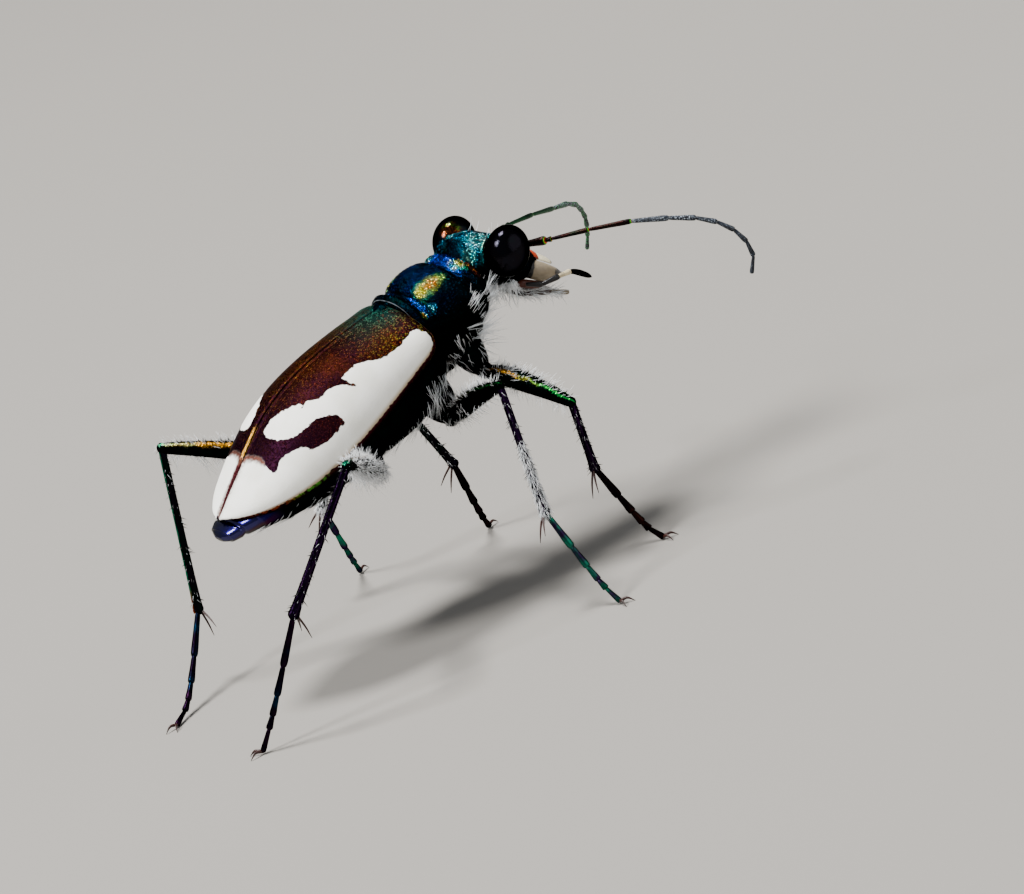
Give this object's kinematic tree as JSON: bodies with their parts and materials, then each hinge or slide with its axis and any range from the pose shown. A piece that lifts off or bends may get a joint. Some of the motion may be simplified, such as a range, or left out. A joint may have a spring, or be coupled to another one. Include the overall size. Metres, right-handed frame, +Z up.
{
  "type": "tiger beetle",
  "caption": "Life-size museum-style figure of a pale-banded tiger beetle standing tall on six long legs, head raised and feelers swept forward.",
  "frame": {"origin": "middle of the bounding box in X and Y, on the floor plane under the feet", "axes": "+X towards the head, +Y to the beetle's left, +Z up"},
  "size_m": [0.0196, 0.0142, 0.01],
  "materials": {
    "wing_case": "maroon and ivory wing case with fine metallic pits",
    "eye": "glossy dark compound eye",
    "ivory_mouthpart": "ivory lip and mandible bases, dark mandible tips",
    "palp": "pale translucent palps with dark end segments",
    "metallic_teal_cuticle": "blue-green metallic cuticle with gold glints",
    "violet_cuticle": "violet-black glossy cuticle",
    "black_cuticle": "black cuticle with white hair",
    "antenna": "dark antenna, metallic green and copper base",
    "metallic_leg": "violet to green metallic leg with white bristles"
  },
  "bodies": {
    "root": {"prothorax": "metallic_teal_cuticle", "head": "metallic_teal_cuticle", "labrum": "ivory_mouthpart", "eye_left": "eye", "mandible_left": "ivory_mouthpart", "maxillary_palp_left": "palp", "labial_palp_left": "palp", "eye_right": "eye", "mandible_right": "ivory_mouthpart", "maxillary_palp_right": "palp", "labial_palp_right": "palp", "pterothorax": "black_cuticle", "abdomen": "violet_cuticle", "elytron_left": "wing_case", "elytron_right": "wing_case", "scutellum": "metallic_teal_cuticle", "antenna_right": "antenna", "antenna_left": "antenna", "coxa_front_right": "black_cuticle", "femur_front_right": "metallic_leg", "tibia_front_right": "metallic_leg", "tarsus_front_right": "metallic_leg", "coxa_middle_right": "black_cuticle", "femur_middle_right": "metallic_leg", "tibia_middle_right": "metallic_leg", "tarsus_middle_right": "metallic_leg", "coxa_hind_right": "black_cuticle", "femur_hind_right": "metallic_leg", "tibia_hind_right": "metallic_leg", "tarsus_hind_right": "metallic_leg", "coxa_front_left": "black_cuticle", "femur_front_left": "metallic_leg", "tibia_front_left": "metallic_leg", "tarsus_front_left": "metallic_leg", "coxa_middle_left": "black_cuticle", "femur_middle_left": "metallic_leg", "tibia_middle_left": "metallic_leg", "tarsus_middle_left": "metallic_leg", "coxa_hind_left": "black_cuticle", "femur_hind_left": "metallic_leg", "tibia_hind_left": "metallic_leg", "tarsus_hind_left": "metallic_leg"}
  },
  "joints": []
}
